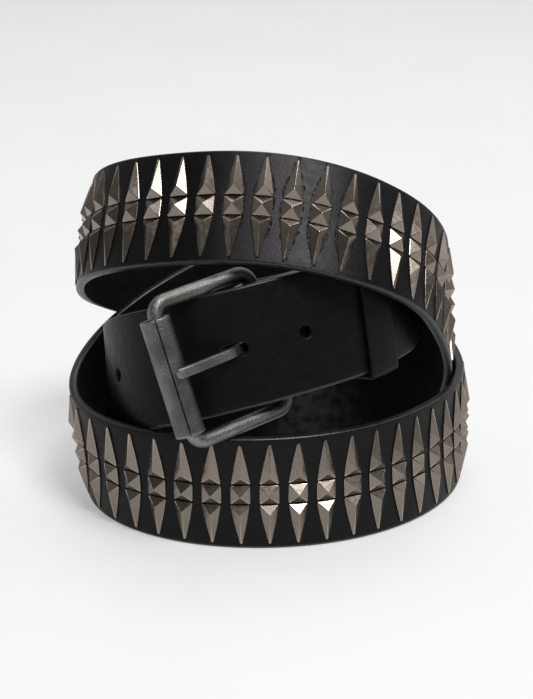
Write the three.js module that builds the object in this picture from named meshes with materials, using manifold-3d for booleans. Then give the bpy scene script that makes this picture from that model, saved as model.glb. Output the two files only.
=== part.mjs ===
// Studded leather belt with a roller buckle, fastened and standing on its edge in three turns.
// Millimetres, +Z up, +X to the right, +Y away from the viewer. The lowest turn stands on z = 0.
import * as THREE from 'three';
import Module from 'manifold-3d';
import { mergeVertices } from 'three/addons/utils/BufferGeometryUtils.js';

const wasm = await Module();
wasm.setup();

// Leather strap
const BELT_WIDTH = 38;
const LEATHER = 3;
const EDGE_CHAMFER = 0.7;
const LAYER_GAP = 0.3;
const RING_STEP = 4.6;

// Coil: what the stations below are shares of
const HALF_SIDE = 64;
const HALF_BACK = 58;

// Studs: a dagger, a square and a dagger in each column
const COLUMN_COUNT = 84;
const COLUMN_PITCH = 9.07;
const FIRST_COLUMN = 72.9;
const SQUARE_SIDE = 6.3;
const DAGGER_TIP = 0.9;
const STUD_GAP = 0.5;
const STUD_MARGIN = 1.75;
const DAGGER_LENGTH = BELT_WIDTH / 2 - STUD_MARGIN - SQUARE_SIDE / 2 - STUD_GAP;
const STUD_PEAK = 2.5;
const DAGGER_PEAK_SHARE = 0.2;

// Holes and tip
const HOLE_DIAMETER = 4.2;
const HOLE_PITCH = 22.8;
const HOLE_COUNT = 5;
const PINNED_HOLE = 2;
const PIN_BEFORE_BAR = 13;
const WORN_HOLE_LENGTH = 9;
const TIP_PAST_BAR = 62;
const TIP_TAPER = 16;
const TIP_END_WIDTH = 16;
const LAP_BEFORE_BAR = 4;

// Buckle
const WIRE_DIAMETER = 4.8;
const BAR_PLAY = 0.6;
const FRAME_HALF_HEIGHT = 22.6;
const FRAME_LENGTH = 36;
const FRAME_CORNER = 4.4;
const FRAME_TILT = 15;
const FRAME_DROOP = 3.6;
const ROLLER_DIAMETER = 9.6;
const ROLLER_WALL = 1;
const ROLLER_LENGTH = 37.6;
const ROLLER_HANG = 0.5;
const RUNNING_GAP = 0.3;
const TONGUE_WIDTH = 3.2;
const TONGUE_THICKNESS = 2.4;
const TONGUE_LIFT = 0.5;
const TONGUE_SLOT_LENGTH = 16;
const TONGUE_SLOT_SHIFT = 2;
const TONGUE_BEND = 3;
const TONGUE_BEND_BEFORE = 3.4;
const TONGUE_BEND_AFTER = 3.6;
const TONGUE_DIP = 0.5;

// Fold of leather that holds the buckle
const FOLD_LENGTH = 52;
const FOLD_SETTLE = 12;
const RIVET_DIAMETER = 3;
const RIVET_HEAD_DIAMETER = 7;
const RIVET_HEAD = 0.8;
const RIVET_PLACES = [24, 48];

// Keeper
const KEEPER_AT = 35;
const KEEPER_SLANT = 0.1;
const KEEPER_WIDTH = 11;
const KEEPER_LEATHER = 1.6;
const KEEPER_PLAY = 0.5;

// The way the strap's middle line takes, once round the three turns and closed on itself.
// side and back are shares of HALF_SIDE and HALF_BACK, rise a share of BELT_WIDTH,
// lean in degrees from upright, positive with the top edge outwards.
const STATIONS = [
  // middle turn: buckle front, then its right side and back
  { side: -0.52, back: -0.78, rise: 1.57, lean: -12 },
  { side: 0.04, back: -0.61, rise: 1.75, lean: -19 },
  { side: 0.52, back: -0.36, rise: 1.85, lean: -14 },
  { side: 0.88, back: 0.19, rise: 1.93, lean: -3 },
  { side: 0.55, back: 0.73, rise: 1.73, lean: 0 },
  { side: 0.0, back: 0.8, rise: 1.55, lean: 0 },
  { side: -0.51, back: 0.68, rise: 1.21, lean: 0 },
  { side: -0.92, back: 0.32, rise: 0.82, lean: 5 },
  // lowest turn: left, front and right, standing on its edge
  { side: -1.05, back: -0.27, rise: 0.5, lean: 9 },
  { side: -0.62, back: -0.75, rise: 0.5, lean: 3 },
  { side: -0.07, back: -0.88, rise: 0.5, lean: -1 },
  { side: 0.48, back: -0.74, rise: 0.5, lean: -4 },
  { side: 0.9, back: -0.34, rise: 0.5, lean: -6 },
  { side: 1.12, back: 0.24, rise: 0.5, lean: 0 },
  // outermost back, climbing to the left
  { side: 0.98, back: 0.87, rise: 0.64, lean: 2 },
  { side: 0.47, back: 1.14, rise: 0.98, lean: 6 },
  { side: -0.05, back: 1.16, rise: 1.27, lean: 5 },
  { side: -0.57, back: 1.05, rise: 1.53, lean: 4 },
  { side: -1.01, back: 0.71, rise: 1.92, lean: -1 },
  // highest turn: left, front and right
  { side: -0.95, back: 0.1, rise: 2.47, lean: -20 },
  { side: -0.52, back: -0.305, rise: 2.74, lean: -35 },
  { side: 0.03, back: -0.43, rise: 2.83, lean: -38 },
  { side: 0.58, back: -0.39, rise: 2.57, lean: -38 },
  { side: 0.94, back: 0.0, rise: 2.04, lean: -15 },
  { side: 0.98, back: 0.34, rise: 1.23, lean: 6 },
  // low back, under the middle turn, and up to the buckle again
  { side: 0.79, back: 0.83, rise: 0.56, lean: 0 },
  { side: 0.19, back: 0.77, rise: 0.5, lean: 0 },
  { side: -0.28, back: 0.51, rise: 0.5, lean: 0 },
  { side: -0.8, back: 0.24, rise: 0.64, lean: 0 },
  { side: -0.87, back: -0.23, rise: 1.2, lean: 0 },
];

const UP = new THREE.Vector3(0, 0, 1);
const radians = THREE.MathUtils.degToRad;

// Path of the middle line

function stationPoint(index) {
  const row = STATIONS[(index + STATIONS.length) % STATIONS.length];
  return [row.side * HALF_SIDE, row.back * HALF_BACK, row.rise * BELT_WIDTH, row.lean];
}

// Uniform cubic B-spline through the closed ring of stations.
function splineAt(u) {
  const i = Math.floor(u);
  const f = u - i;
  const blend = [
    (1 - f) ** 3,
    3 * f ** 3 - 6 * f ** 2 + 4,
    -3 * f ** 3 + 3 * f ** 2 + 3 * f + 1,
    f ** 3,
  ];
  const out = [0, 0, 0, 0];
  blend.forEach((share, k) => {
    stationPoint(i - 1 + k).forEach((value, axis) => {
      out[axis] += (share / 6) * value;
    });
  });
  return out;
}

// Lengths along the path, sampled finely, so that places on the belt are millimetres of strap.
const SAMPLES = 40;
const lengths = [0];
for (let i = 1; i <= STATIONS.length * SAMPLES; i += 1) {
  const a = splineAt((i - 1) / SAMPLES);
  const b = splineAt(i / SAMPLES);
  lengths.push(lengths[i - 1] + Math.hypot(b[0] - a[0], b[1] - a[1], b[2] - a[2]));
}
const LOOP = lengths[lengths.length - 1];
const BAR_STATION = 1.0;
const BAR_LENGTH = lengths[Math.round(BAR_STATION * SAMPLES)];

// Path parameter of a place given in millimetres of strap past the buckle's bar.
function parameterOf(place) {
  const turns = Math.floor((place + BAR_LENGTH) / LOOP);
  const length = place + BAR_LENGTH - turns * LOOP;
  let low = 0;
  let high = lengths.length - 1;
  while (high - low > 1) {
    const middle = (low + high) >> 1;
    if (lengths[middle] <= length) low = middle;
    else high = middle;
  }
  const f = (length - lengths[low]) / (lengths[high] - lengths[low]);
  return turns * STATIONS.length + (low + f) / SAMPLES;
}

// Frame of the strap at a place: centre, along, across (towards the top edge) and out.
function frameAt(place) {
  const u = parameterOf(place);
  const [x, y, z, lean] = splineAt(u);
  const ahead = splineAt(u + 0.01);
  const behind = splineAt(u - 0.01);
  const along = new THREE.Vector3(ahead[0] - behind[0], ahead[1] - behind[1], ahead[2] - behind[2]).normalize();
  const upright = UP.clone().addScaledVector(along, -UP.dot(along)).normalize();
  const level = along.clone().cross(upright);
  const across = upright.multiplyScalar(Math.cos(radians(lean))).addScaledVector(level, Math.sin(radians(lean)));
  return { centre: new THREE.Vector3(x, y, z), along, across, out: along.clone().cross(across) };
}

function placePoint(frame, along, across, out) {
  return frame.centre.clone()
    .addScaledVector(frame.along, along)
    .addScaledVector(frame.across, across)
    .addScaledVector(frame.out, out);
}

// Solids

function indexed(positions, triangles) {
  const geometry = new THREE.BufferGeometry();
  geometry.setAttribute('position', new THREE.Float32BufferAttribute(positions.flatMap((p) => [p.x, p.y, p.z]), 3));
  geometry.setIndex(triangles);
  return geometry;
}

// Skin over rings of equal count: closed round each ring, and capped or joined end to end.
function skin(rings, joined) {
  const count = rings[0].length;
  const triangles = [];
  const last = joined ? rings.length : rings.length - 1;
  for (let i = 0; i < last; i += 1) {
    const next = ((i + 1) % rings.length) * count;
    for (let k = 0; k < count; k += 1) {
      const a = i * count + k;
      const b = i * count + ((k + 1) % count);
      const c = next + ((k + 1) % count);
      const d = next + k;
      triangles.push(a, b, c, a, c, d);
    }
  }
  if (!joined) {
    const end = (rings.length - 1) * count;
    for (let k = 1; k < count - 1; k += 1) {
      triangles.push(0, k + 1, k);
      triangles.push(end, end + k, end + k + 1);
    }
  }
  return indexed(rings.flat(), triangles);
}

function toSolid(geometry) {
  const bare = geometry.clone();
  bare.deleteAttribute('normal');
  bare.deleteAttribute('uv');
  const merged = mergeVertices(bare, 1e-4);
  const mesh = new wasm.Mesh({
    numProp: 3,
    vertProperties: new Float32Array(merged.attributes.position.array),
    triVerts: new Uint32Array(merged.index.array),
  });
  return new wasm.Manifold(mesh);
}

function toGeometry(solid) {
  const mesh = solid.getMesh();
  const geometry = new THREE.BufferGeometry();
  geometry.setAttribute('position', new THREE.Float32BufferAttribute(mesh.vertProperties, 3));
  geometry.setIndex(Array.from(mesh.triVerts));
  return geometry;
}

// Matrix that carries x, y, z of a small part to along, across, out of the strap's frame.
function frameMatrix(frame, along = 0, across = 0, out = 0) {
  const matrix = new THREE.Matrix4().makeBasis(frame.along, frame.across, frame.out);
  return matrix.setPosition(placePoint(frame, along, across, out));
}

// Strap

const BAR_OUT = -(LEATHER / 2 + BAR_PLAY + WIRE_DIAMETER / 2);
const LAYER = LEATHER + LAYER_GAP;
const rollerAlong = -(FRAME_LENGTH + ROLLER_HANG) * Math.cos(radians(FRAME_TILT));
const rollerOut = BAR_OUT + (FRAME_LENGTH + ROLLER_HANG) * Math.sin(radians(FRAME_TILT));
const TIP_START = LOOP + rollerAlong + ROLLER_DIAMETER / 2;

// The strap's frame at the bar, turned so that the buckle's far side droops.
function droopedFrame() {
  const { centre, along, across, out } = frameAt(0);
  return {
    centre,
    along: along.clone().applyAxisAngle(out, radians(FRAME_DROOP)),
    across: across.clone().applyAxisAngle(out, radians(FRAME_DROOP)),
    out,
  };
}

const buckleFrame = droopedFrame();

const smooth = (f) => f * f * (3 - 2 * f);

// How far out the strap lies from the middle line: the tip rides over the body past the roller.
function tipOffset(place) {
  const f = THREE.MathUtils.clamp((place - TIP_START) / (LOOP - LAP_BEFORE_BAR - TIP_START), 0, 1);
  return LAYER * smooth(f);
}

// The width narrows to the tip's blunt end.
function halfWidthAt(place) {
  const fromEnd = LOOP + TIP_PAST_BAR - place;
  if (fromEnd >= TIP_TAPER) return BELT_WIDTH / 2;
  const f = 1 - fromEnd / TIP_TAPER;
  return TIP_END_WIDTH / 2 + (BELT_WIDTH / 2 - TIP_END_WIDTH / 2) * Math.sqrt(1 - f * f);
}

function evenPlaces(from, to) {
  const steps = Math.round((to - from) / RING_STEP);
  return Array.from({ length: steps }, (_, i) => ({ place: from + ((to - from) * (i + 1)) / steps }));
}

// Where the strap's rings lie: even steps where it is plain, and between the columns of studs.
// A ring before a column carries the column's own place.
function ringPlaces() {
  const studsStart = FIRST_COLUMN - COLUMN_PITCH / 2;
  const studsEnd = studsStart + COLUMN_COUNT * COLUMN_PITCH;
  const taperStart = LOOP + TIP_PAST_BAR - TIP_TAPER;
  const plain = evenPlaces(0, studsStart);
  plain.pop();
  const columns = Array.from({ length: COLUMN_COUNT }, (_, i) => ({
    place: studsStart + i * COLUMN_PITCH,
    column: FIRST_COLUMN + i * COLUMN_PITCH,
  }));
  const taper = [0.4, 0.7, 0.9, 0.98, 1].map((share) => ({ place: taperStart + share * TIP_TAPER }));
  return [...plain, ...columns, { place: studsEnd }, ...evenPlaces(studsEnd, taperStart), ...taper];
}

// Centre line of the leather from the folded end, round the bar, along the coil to the tip.
function strapCentres() {
  const rows = [];
  const foldSteps = Math.round((FOLD_LENGTH - FOLD_SETTLE) / RING_STEP);
  for (let i = 0; i <= foldSteps; i += 1) {
    const place = THREE.MathUtils.lerp(FOLD_LENGTH, FOLD_SETTLE, i / foldSteps);
    rows.push({ frame: frameAt(place), along: 0, out: -LAYER, half: BELT_WIDTH / 2 });
  }
  for (let i = 1; i < 3; i += 1) {
    const f = smooth(i / 3);
    const place = THREE.MathUtils.lerp(FOLD_SETTLE, 0, i / 3);
    rows.push({ frame: frameAt(place), along: 0, out: THREE.MathUtils.lerp(-LAYER, 2 * BAR_OUT, f), half: BELT_WIDTH / 2 });
  }
  const wrapSteps = 8;
  for (let i = 0; i <= wrapSteps; i += 1) {
    const angle = Math.PI * (1 + i / wrapSteps);
    rows.push({
      frame: buckleFrame,
      along: -BAR_OUT * Math.sin(angle),
      out: BAR_OUT - BAR_OUT * Math.cos(angle),
      half: BELT_WIDTH / 2,
    });
  }
  for (const { place, column: studPlace } of ringPlaces()) {
    const studs = studPlace === undefined ? undefined : frameAt(studPlace);
    rows.push({ frame: frameAt(place), along: 0, out: tipOffset(place), half: halfWidthAt(place), column: studs });
  }
  return rows.map((row) => ({
    point: placePoint(row.frame, row.along, 0, row.out),
    across: row.frame.across,
    half: row.half,
    column: row.column,
  }));
}

function leatherRing(centre, along, across, half) {
  const out = along.clone().cross(across).normalize();
  const t = LEATHER / 2;
  const c = EDGE_CHAMFER;
  const corners = [
    [half, t - c], [half - c, t], [-half + c, t], [-half, t - c],
    [-half, -t + c], [-half + c, -t], [half - c, -t], [half, -t + c],
  ];
  return corners.map(([w, n]) => centre.clone().addScaledVector(across, w).addScaledVector(out, n));
}

// Studs: each is a low pyramid over its outline, x along the strap, y across it, z out.

function squareStud() {
  const h = SQUARE_SIDE / 2;
  return { outline: [[-h, -h], [h, -h], [h, h], [-h, h]], peak: [0, 0] };
}

function daggerStud(side) {
  const h = SQUARE_SIDE / 2;
  const base = h + STUD_GAP;
  const tip = base + DAGGER_LENGTH;
  const outline = [[-h, base], [h, base], [DAGGER_TIP / 2, tip], [-DAGGER_TIP / 2, tip]];
  return {
    outline: side > 0 ? outline : outline.map(([x, y]) => [x, -y]).reverse(),
    peak: [0, side * (base + DAGGER_LENGTH * DAGGER_PEAK_SHARE)],
  };
}

const column = [daggerStud(1), squareStud(), daggerStud(-1)];

// The outer face between two rings as triangles: leather round the outlines, and the studs' facets.
// Points 0 to 3 are the rings' own corners, then come the outlines, then the peaks.
function columnTriangles() {
  const edge = BELT_WIDTH / 2 - EDGE_CHAMFER;
  const half = COLUMN_PITCH / 2;
  const corners = [[-half, edge], [-half, -edge], [half, -edge], [half, edge]];
  const toVectors = (points) => points.map(([x, y]) => new THREE.Vector2(x, y));
  const flat = [corners, ...column.map((stud) => stud.outline)].flat();
  const outlines = column.map((stud) => toVectors(stud.outline));
  const triangles = THREE.ShapeUtils.triangulateShape(toVectors(corners), outlines).map(([a, b, c]) => {
    const turn = (flat[b][0] - flat[a][0]) * (flat[c][1] - flat[a][1])
      - (flat[b][1] - flat[a][1]) * (flat[c][0] - flat[a][0]);
    return turn > 0 ? [a, b, c] : [a, c, b];
  });
  let first = corners.length;
  column.forEach(({ outline }, i) => {
    outline.forEach((_, k) => {
      triangles.push([first + k, first + ((k + 1) % outline.length), flat.length + i]);
    });
    first += outline.length;
  });
  return triangles;
}

// Skin of the strap, with a column of studs wherever a pair of rings stands either side of one.
function strapSkin(rows, rings) {
  const count = rings[0].length;
  const positions = rings.flat();
  const triangles = [];
  const template = columnTriangles();
  for (let i = 0; i < rings.length - 1; i += 1) {
    const here = i * count;
    const next = here + count;
    for (let k = 0; k < count; k += 1) {
      const k1 = (k + 1) % count;
      if (!(k === 1 && rows[i].column)) {
        triangles.push(here + k, here + k1, next + k1, here + k, next + k1, next + k);
      }
    }
    if (rows[i].column) {
      const ids = [here + 1, here + 2, next + 2, next + 1];
      const add = ([x, y], height) => {
        ids.push(positions.length);
        positions.push(placePoint(rows[i].column, x, y, LEATHER / 2 + height));
      };
      column.forEach((stud) => stud.outline.forEach((point) => add(point, 0)));
      column.forEach((stud) => add(stud.peak, STUD_PEAK));
      template.forEach((corners) => triangles.push(...corners.map((corner) => ids[corner])));
    }
  }
  const end = (rings.length - 1) * count;
  for (let k = 1; k < count - 1; k += 1) {
    triangles.push(0, k + 1, k, end, end + k, end + k + 1);
  }
  return indexed(positions, triangles);
}

function studdedStrap() {
  const rows = strapCentres();
  const rings = rows.map((row, i) => {
    const before = rows[Math.max(i - 1, 0)].point;
    const after = rows[Math.min(i + 1, rows.length - 1)].point;
    const along = after.clone().sub(before).normalize();
    return leatherRing(row.point, along, row.across, row.half);
  });
  return toSolid(strapSkin(rows, rings));
}

// Cutter for a round or a worn, lengthened hole through the strap at a place.
function throughCutter(place, length) {
  const ends = [-1, 1].map((side) => {
    const cylinder = new THREE.CylinderGeometry(HOLE_DIAMETER / 2, HOLE_DIAMETER / 2, LEATHER + LAYER_GAP, 16);
    cylinder.rotateX(Math.PI / 2);
    const along = (side * (length - HOLE_DIAMETER)) / 2;
    return toSolid(cylinder.applyMatrix4(frameMatrix(frameAt(place), along, 0, tipOffset(place))));
  });
  return wasm.Manifold.hull(ends);
}

function holeCutters() {
  return Array.from({ length: HOLE_COUNT }, (_, i) => {
    const place = LOOP - PIN_BEFORE_BAR + (i - PINNED_HOLE) * HOLE_PITCH;
    return throughCutter(place, i === PINNED_HOLE ? WORN_HOLE_LENGTH : HOLE_DIAMETER);
  });
}

// The slot in the fold that the tongue swings in.
function tongueSlotCutter() {
  const width = TONGUE_WIDTH + 4 * RUNNING_GAP;
  const depth = 2 * (LEATHER + WIRE_DIAMETER);
  const slot = new THREE.BoxGeometry(TONGUE_SLOT_LENGTH, width, depth);
  return toSolid(slot.applyMatrix4(frameMatrix(buckleFrame, -TONGUE_SLOT_SHIFT, TONGUE_LIFT, BAR_OUT - LEATHER)));
}

function rivetProfile(grow) {
  const r = RIVET_DIAMETER / 2 + grow;
  const head = RIVET_HEAD_DIAMETER / 2 + grow;
  const outer = LEATHER / 2 - RUNNING_GAP;
  const inner = -LAYER - LEATHER / 2 + RUNNING_GAP;
  const lift = grow > 0 ? 2 * RUNNING_GAP : 0;
  return [
    [0, inner - lift], [head, inner - lift], [head, inner + RIVET_HEAD + grow], [r, inner + RIVET_HEAD + grow],
    [r, outer - RIVET_HEAD - grow], [head, outer - RIVET_HEAD - grow], [head, outer + lift], [0, outer + lift],
  ];
}

function rivetGeometry(place, grow) {
  const points = rivetProfile(grow).map(([x, y]) => new THREE.Vector2(x, y));
  const lathe = new THREE.LatheGeometry(points, 12);
  lathe.rotateX(Math.PI / 2);
  return lathe.applyMatrix4(frameMatrix(frameAt(place)));
}

function strapGeometry() {
  const seats = RIVET_PLACES.map((at) => toSolid(rivetGeometry(at, RUNNING_GAP)));
  const cuts = wasm.Manifold.union([...holeCutters(), tongueSlotCutter(), ...seats]);
  return toGeometry(studdedStrap().subtract(cuts));
}

// Buckle: everything is laid out in the bar's frame, with the roller side tilted out.

const tiltBack = new THREE.Matrix4().makeRotationY(radians(FRAME_TILT));
const buckleMatrix = frameMatrix(buckleFrame, 0, 0, BAR_OUT).multiply(tiltBack);

// Ring of the wire at a point of the frame's outline, in the outline's plane.
function wireRing(x, y, direction) {
  const ring = [];
  const sides = 8;
  for (let k = 0; k < sides; k += 1) {
    const angle = (2 * Math.PI * (k + 0.5)) / sides;
    const side = (WIRE_DIAMETER / 2) * Math.cos(angle);
    const height = (WIRE_DIAMETER / 2) * Math.sin(angle);
    ring.push(new THREE.Vector3(x - direction.y * side, y + direction.x * side, height));
  }
  return ring;
}

// The frame's wire: a rounded rectangle from the bar at x = 0 to the roller's side at -FRAME_LENGTH.
function buckleFrameGeometry() {
  const corners = [[0, 1], [-FRAME_LENGTH, 1], [-FRAME_LENGTH, -1], [0, -1]];
  const rings = [];
  const steps = 5;
  corners.forEach(([x, side], i) => {
    const cx = x + (x === 0 ? -FRAME_CORNER : FRAME_CORNER);
    const cy = side * (FRAME_HALF_HEIGHT - FRAME_CORNER);
    for (let k = 0; k <= steps; k += 1) {
      const angle = (i * Math.PI) / 2 + (k * Math.PI) / (2 * steps);
      const spoke = new THREE.Vector2(Math.cos(angle), Math.sin(angle));
      const direction = new THREE.Vector2(-spoke.y, spoke.x);
      rings.push(wireRing(cx + FRAME_CORNER * spoke.x, cy + FRAME_CORNER * spoke.y, direction));
    }
  });
  return skin(rings, true).applyMatrix4(buckleMatrix);
}

// The roller is a rolled sleeve, loose on the wire: it hangs out from the bar and down to the corner.
function rollerGeometry() {
  const outer = ROLLER_DIAMETER / 2;
  const inner = outer - ROLLER_WALL;
  const half = ROLLER_LENGTH / 2;
  const profile = [[inner, -half], [outer, -half], [outer, half], [inner, half], [inner, -half]];
  const lathe = new THREE.LatheGeometry(profile.map(([r, h]) => new THREE.Vector2(r, h)), 20);
  lathe.translate(-FRAME_LENGTH - ROLLER_HANG, -ROLLER_HANG, 0);
  return lathe.applyMatrix4(buckleMatrix);
}

// Tongue: an eye round the bar, and a prong that goes out through the hole to lie on the roller.
function tongueEye() {
  const inner = WIRE_DIAMETER / 2 + RUNNING_GAP;
  const profile = new THREE.Shape().absarc(0, 0, inner + TONGUE_THICKNESS * 0.8, 0, 2 * Math.PI);
  profile.holes.push(new THREE.Path().absarc(0, 0, inner, 0, 2 * Math.PI));
  const eye = new THREE.ExtrudeGeometry(profile, { depth: TONGUE_WIDTH, bevelEnabled: false, curveSegments: 10 });
  eye.translate(0, 0, -TONGUE_WIDTH / 2);
  eye.rotateX(Math.PI / 2);
  return eye;
}

// Side view of the tongue's middle line, from the eye to the tip on the roller.
function tonguePoints() {
  const holeOut = tipOffset(LOOP - PIN_BEFORE_BAR) - BAR_OUT;
  const rest = rollerOut - BAR_OUT + ROLLER_DIAMETER / 2 + RUNNING_GAP + TONGUE_THICKNESS / 2;
  const eyeRadius = WIRE_DIAMETER / 2 + RUNNING_GAP + TONGUE_THICKNESS * 0.4;
  return [
    new THREE.Vector2(-eyeRadius, 0),
    new THREE.Vector2(-PIN_BEFORE_BAR + TONGUE_BEND_BEFORE, holeOut - TONGUE_BEND),
    new THREE.Vector2(-PIN_BEFORE_BAR, holeOut),
    new THREE.Vector2(-PIN_BEFORE_BAR - TONGUE_BEND_AFTER, holeOut + TONGUE_BEND),
    new THREE.Vector2(rollerAlong + ROLLER_DIAMETER / 2, rest - TONGUE_DIP),
    new THREE.Vector2(rollerAlong, rest),
  ];
}

function tongueProng() {
  const curve = new THREE.SplineCurve(tonguePoints());
  const steps = 14;
  const rings = [];
  for (let i = 0; i <= steps; i += 1) {
    const p = curve.getPoint(i / steps);
    const t = curve.getTangent(i / steps);
    const blunt = i === steps ? 0.6 : 1;
    const w = (TONGUE_WIDTH / 2) * blunt;
    const h = (TONGUE_THICKNESS / 2) * blunt;
    const c = 0.35;
    const section = [[w, -h * c], [w * 0.7, -h], [-w * 0.7, -h], [-w, -h * c], [-w, h * c], [-w * 0.7, h], [w * 0.7, h], [w, h * c]];
    rings.push(section.map(([y, n]) => new THREE.Vector3(p.x + t.y * n, y, p.y - t.x * n)));
  }
  return skin(rings, false);
}

function tongueGeometry() {
  const solid = toSolid(tongueEye()).add(toSolid(tongueProng()));
  return toGeometry(solid).applyMatrix4(frameMatrix(buckleFrame, 0, TONGUE_LIFT, BAR_OUT));
}

// Keeper: a leather band round both layers and the fold, bent as the strap bends and a little askew.
function keeperGeometry() {
  const t = KEEPER_LEATHER / 2;
  const halfAcross = BELT_WIDTH / 2 + KEEPER_PLAY + t;
  const halfOut = LAYER + LEATHER / 2 + KEEPER_PLAY + t;
  const sides = [-1, 0, 1];
  const corners = [[1, 1], [-1, 1], [-1, -1], [1, -1]];
  const rings = [];
  const steps = 3;
  corners.forEach(([across, out], i) => {
    for (let k = 0; k <= steps; k += 1) {
      const angle = (i * Math.PI) / 2 + (k * Math.PI) / (2 * steps);
      const at = (side, reach) => {
        const y = across * (halfAcross - t) + Math.cos(angle) * reach;
        const z = out * (halfOut - t) + Math.sin(angle) * reach;
        const along = KEEPER_AT + (side * KEEPER_WIDTH) / 2 + KEEPER_SLANT * y;
        return placePoint(frameAt(along), 0, y, z);
      };
      const inner = sides.map((side) => at(side, 0));
      const outer = sides.map((side) => at(side, 2 * t)).reverse();
      rings.push([...inner, ...outer]);
    }
  });
  return skin(rings, true);
}

// Materials and assembly

const leatherFinish = new THREE.MeshStandardMaterial({ color: 0x17171a, roughness: 0.45, metalness: 0 });
const buckleFinish = new THREE.MeshStandardMaterial({ color: 0x5c5a57, roughness: 0.4, metalness: 1 });
const rivetFinish = new THREE.MeshStandardMaterial({ color: 0x6e655c, roughness: 0.4, metalness: 1 });

const belt = new THREE.Group();

function place(name, geometry, material) {
  const mesh = new THREE.Mesh(geometry, material);
  mesh.name = name;
  belt.add(mesh);
}

place('strap', strapGeometry(), leatherFinish);
place('buckle_frame', buckleFrameGeometry(), buckleFinish);
place('roller', rollerGeometry(), buckleFinish);
place('tongue', tongueGeometry(), buckleFinish);
place('keeper', keeperGeometry(), leatherFinish);
RIVET_PLACES.forEach((at, i) => place(`fold_rivet_${i + 1}`, rivetGeometry(at, 0), rivetFinish));

// The origin sits under the middle of the whole coil's box.
const box = new THREE.Box3().setFromObject(belt);
const middle = box.getCenter(new THREE.Vector3());
belt.position.set(-middle.x, -middle.y, 0);

export default belt;
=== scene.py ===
# %% [markdown]
# A studded belt, standing in three turns
# ---------------------------------------
# This lesson dresses a CAD model of a black leather belt, the frame, which brings the real sizes and the
# place of every part. Each visible surface is worked out again with numpy, as a function of two
# parameters, and gets a material made of nodes. Lengths are in millimetres until a mesh is made.

import bpy
import numpy as np
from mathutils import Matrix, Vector


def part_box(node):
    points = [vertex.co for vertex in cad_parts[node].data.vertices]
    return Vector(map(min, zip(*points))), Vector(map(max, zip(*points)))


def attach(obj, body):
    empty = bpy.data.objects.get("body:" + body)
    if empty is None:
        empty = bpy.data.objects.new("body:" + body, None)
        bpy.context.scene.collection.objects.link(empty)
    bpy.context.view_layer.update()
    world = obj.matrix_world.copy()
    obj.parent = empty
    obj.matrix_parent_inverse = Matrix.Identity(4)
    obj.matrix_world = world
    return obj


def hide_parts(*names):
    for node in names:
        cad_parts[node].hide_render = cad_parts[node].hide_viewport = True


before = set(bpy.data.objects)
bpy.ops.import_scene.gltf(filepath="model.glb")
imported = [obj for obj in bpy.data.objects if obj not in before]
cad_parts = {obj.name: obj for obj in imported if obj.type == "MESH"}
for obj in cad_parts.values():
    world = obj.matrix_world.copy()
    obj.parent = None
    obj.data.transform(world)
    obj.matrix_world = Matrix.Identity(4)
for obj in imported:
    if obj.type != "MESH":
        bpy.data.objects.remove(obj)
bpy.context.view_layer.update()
MM = 0.001
rng = np.random.default_rng(38)
print("nodes in the frame:", sorted(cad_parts))

# %% [markdown]
# The strap's way
# A strap keeps its width and thickness, so its shape is all in the line that its middle follows. A Bezier
# curve could draw it, but the leather's lean and exact lengths are hard to read back from one. So it is a
# closed cubic B-spline over a table of stations: how far to the side and back, how high, and how far the
# top edge leans out. The CAD model uses the same table.

# %% Sizes of the belt
BELT_WIDTH = 38.0
LEATHER = 3.0
LAYER_GAP = 0.3
HALF_SIDE = 64.0
HALF_BACK = 58.0

# side and back in shares of the two half sizes, rise in belt widths, lean in degrees
STATIONS = np.array([
    (-0.52, -0.78, 1.57, -12), (0.04, -0.61, 1.75, -19), (0.52, -0.36, 1.85, -14),
    (0.88, 0.19, 1.93, -3), (0.55, 0.73, 1.73, 0), (0.0, 0.8, 1.55, 0),
    (-0.51, 0.68, 1.21, 0), (-0.92, 0.32, 0.82, 5), (-1.05, -0.27, 0.5, 9),
    (-0.62, -0.75, 0.5, 3), (-0.07, -0.88, 0.5, -1), (0.48, -0.74, 0.5, -4),
    (0.9, -0.34, 0.5, -6), (1.12, 0.24, 0.5, 0), (0.98, 0.87, 0.64, 2),
    (0.47, 1.14, 0.98, 6), (-0.05, 1.16, 1.27, 5), (-0.57, 1.05, 1.53, 4),
    (-1.01, 0.71, 1.92, -1), (-0.95, 0.1, 2.47, -20), (-0.52, -0.305, 2.74, -35),
    (0.03, -0.43, 2.83, -38), (0.58, -0.39, 2.57, -38), (0.94, 0.0, 2.04, -15),
    (0.98, 0.34, 1.23, 6), (0.79, 0.83, 0.56, 0), (0.19, 0.77, 0.5, 0),
    (-0.28, 0.51, 0.5, 0), (-0.8, 0.24, 0.64, 0), (-0.87, -0.23, 1.2, 0),
])
SAMPLES = 40
BAR_STATION = 1


def spline_at(u):
    """Uniform cubic B-spline: four neighbouring stations, blended by the cubic basis of the fraction of u."""
    table = STATIONS * [HALF_SIDE, HALF_BACK, BELT_WIDTH, 1]
    first = np.floor(u).astype(int)
    f = u - first
    blend = np.stack([(1 - f) ** 3, 3 * f**3 - 6 * f**2 + 4, -3 * f**3 + 3 * f**2 + 3 * f + 1, f**3]) / 6
    rows = (first + np.arange(-1, 3)[:, None]) % len(STATIONS)
    return np.einsum("kn,knc->nc", blend, table[rows])


knots = spline_at(np.arange(len(STATIONS) * SAMPLES + 1) / SAMPLES)[:, :3]
lengths = np.append(0, np.cumsum(np.linalg.norm(np.diff(knots, axis=0), axis=1)))
LOOP = lengths[-1]
BAR_LENGTH = lengths[BAR_STATION * SAMPLES]
print("strap in one loop:", round(LOOP, 1), "mm")


# %% Frames along the strap
def unit(vectors):
    """Each vector divided by its own length."""
    return vectors / np.linalg.norm(vectors, axis=-1, keepdims=True)


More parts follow.
